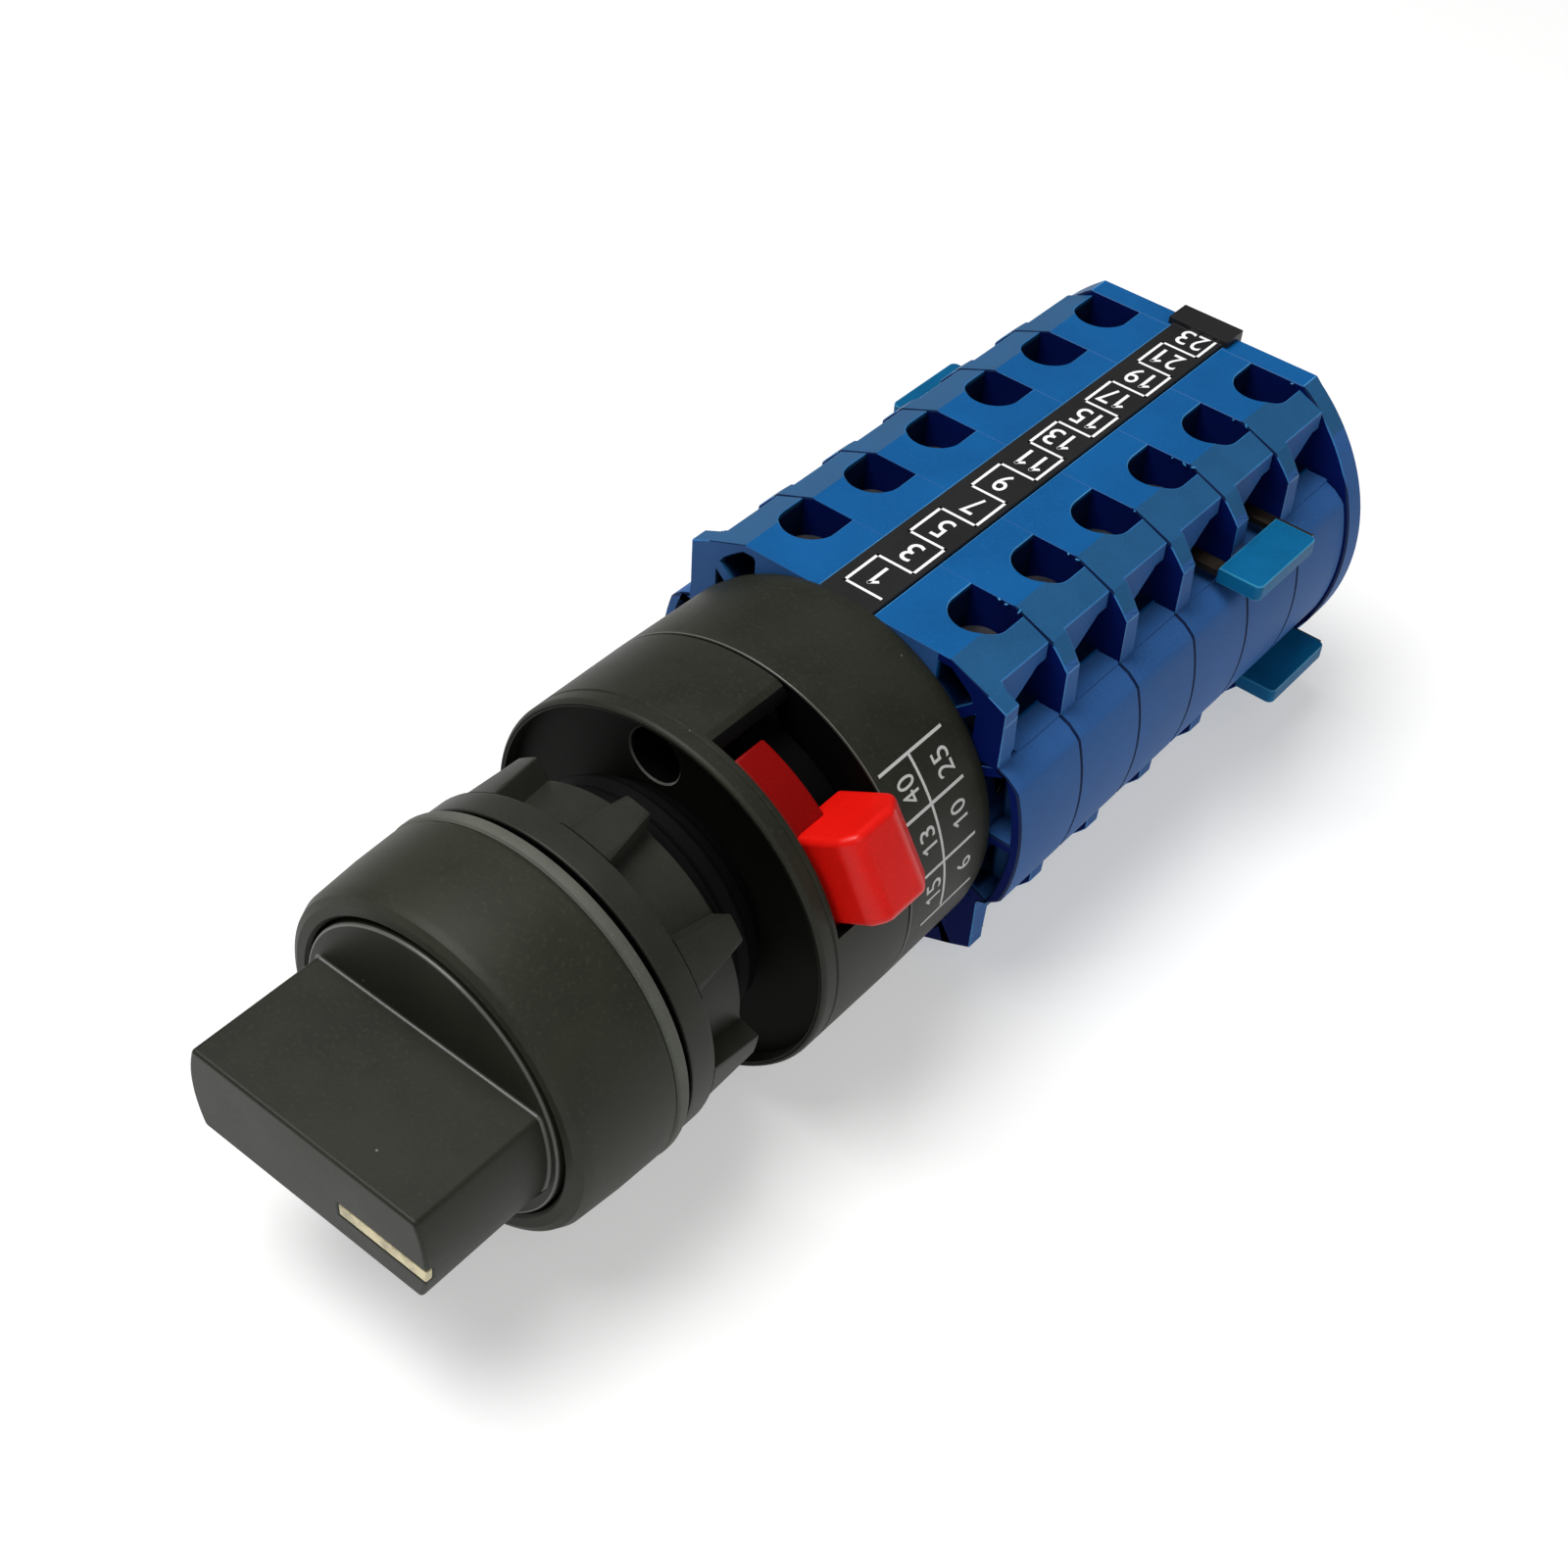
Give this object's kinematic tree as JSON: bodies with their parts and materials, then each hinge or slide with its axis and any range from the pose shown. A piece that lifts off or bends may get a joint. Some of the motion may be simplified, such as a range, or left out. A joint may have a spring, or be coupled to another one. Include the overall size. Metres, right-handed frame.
{
  "type": "cam switch",
  "caption": "Panel-mounted rotary cam switch with a blade knob, a red lock lever and a blue stack of contact stages with screw terminals and jumper links.",
  "frame": {"origin": "centre of the panel hole, in the plane of the panel's front face where the gasket seats", "axes": "+Y along the switch axis from the panel toward the contact stack, so the knob points to -Y; +Z to the flat with the odd terminal numbers; +X to the side of the lock lever"},
  "size_m": [0.0394, 0.1113, 0.0332],
  "materials": {
    "black_plastic": "fine moulded matte",
    "grey_plastic": "moulded matte",
    "gasket_rubber": "smooth",
    "blue_plastic": "satin moulded",
    "red_plastic": "glossy",
    "teal_plastic": "satin",
    "ivory_plastic": "moulded matte",
    "cream_inlay": "smooth",
    "label_film": "printed film",
    "brass": "satin",
    "silver": "bright",
    "plated_steel": "yellow passivated",
    "steel": "zinc plated"
  },
  "bodies": {
    "housing": {"head_bezel": "black_plastic", "bezel_gasket": "gasket_rubber", "fixing_nut": "black_plastic", "front_housing": "black_plastic", "latch_housing": "black_plastic", "stage_1": "blue_plastic", "stage_2": "blue_plastic", "stage_3": "blue_plastic", "stage_4": "blue_plastic", "stage_5": "blue_plastic", "stage_6": "blue_plastic", "end_cover": "blue_plastic", "label_strip_top": "label_film", "label_strip_bottom": "label_film", "tie_rods": "steel", "tie_nuts": "steel", "terminal_screws": "steel", "clamp_plates": "plated_steel", "fixed_contacts": "brass", "jumper_links": "brass", "jumper_grips": "teal_plastic", "detent_sliders": "ivory_plastic", "detent_rollers": "steel", "detent_springs": "steel"},
    "selector": {"knob": "black_plastic", "pointer_inlay": "cream_inlay", "spindle": "grey_plastic", "spindle_clip": "steel", "square_shaft": "steel", "index_wheel": "ivory_plastic", "cam_1": "ivory_plastic", "cam_2": "ivory_plastic", "cam_3": "ivory_plastic", "cam_4": "ivory_plastic", "cam_5": "ivory_plastic", "cam_6": "ivory_plastic"},
    "lock_lever": {"lock_lever": "red_plastic"},
    "contacts_right": {"plungers_right": "ivory_plastic", "bridges_right": "brass", "contact_tips_right": "silver", "contact_springs_right": "steel"},
    "contacts_left": {"plungers_left": "ivory_plastic", "bridges_left": "brass", "contact_tips_left": "silver", "contact_springs_left": "steel"}
  },
  "joints": [
    {"name": "selector_turn", "type": "hinge", "parent": "housing", "child": "selector", "pos_m": [0, 0, 0], "axis": [0, 1, 0], "range_deg": [-45, 45]},
    {"name": "lever_swing", "type": "hinge", "parent": "housing", "child": "lock_lever", "pos_m": [0, 0.0175, 0], "axis": [0, -1, 0], "range_deg": [0, 30]},
    {"name": "contacts_right_slide", "type": "slide", "parent": "housing", "child": "contacts_right", "axis": [1, 0, 0], "range_m": [-0.00115, 0.00115], "deforming": ["contact_springs_right"]},
    {"name": "contacts_left_slide", "type": "slide", "parent": "housing", "child": "contacts_left", "axis": [1, 0, 0], "range_m": [-0.00115, 0.00115], "deforming": ["contact_springs_left"]}
  ],
  "couplings": [
    {"joint": "contacts_right_slide", "follows": "selector_turn", "m_per_rad": 0.0014405},
    {"joint": "contacts_left_slide", "follows": "selector_turn", "m_per_rad": 0.0014405}
  ]
}
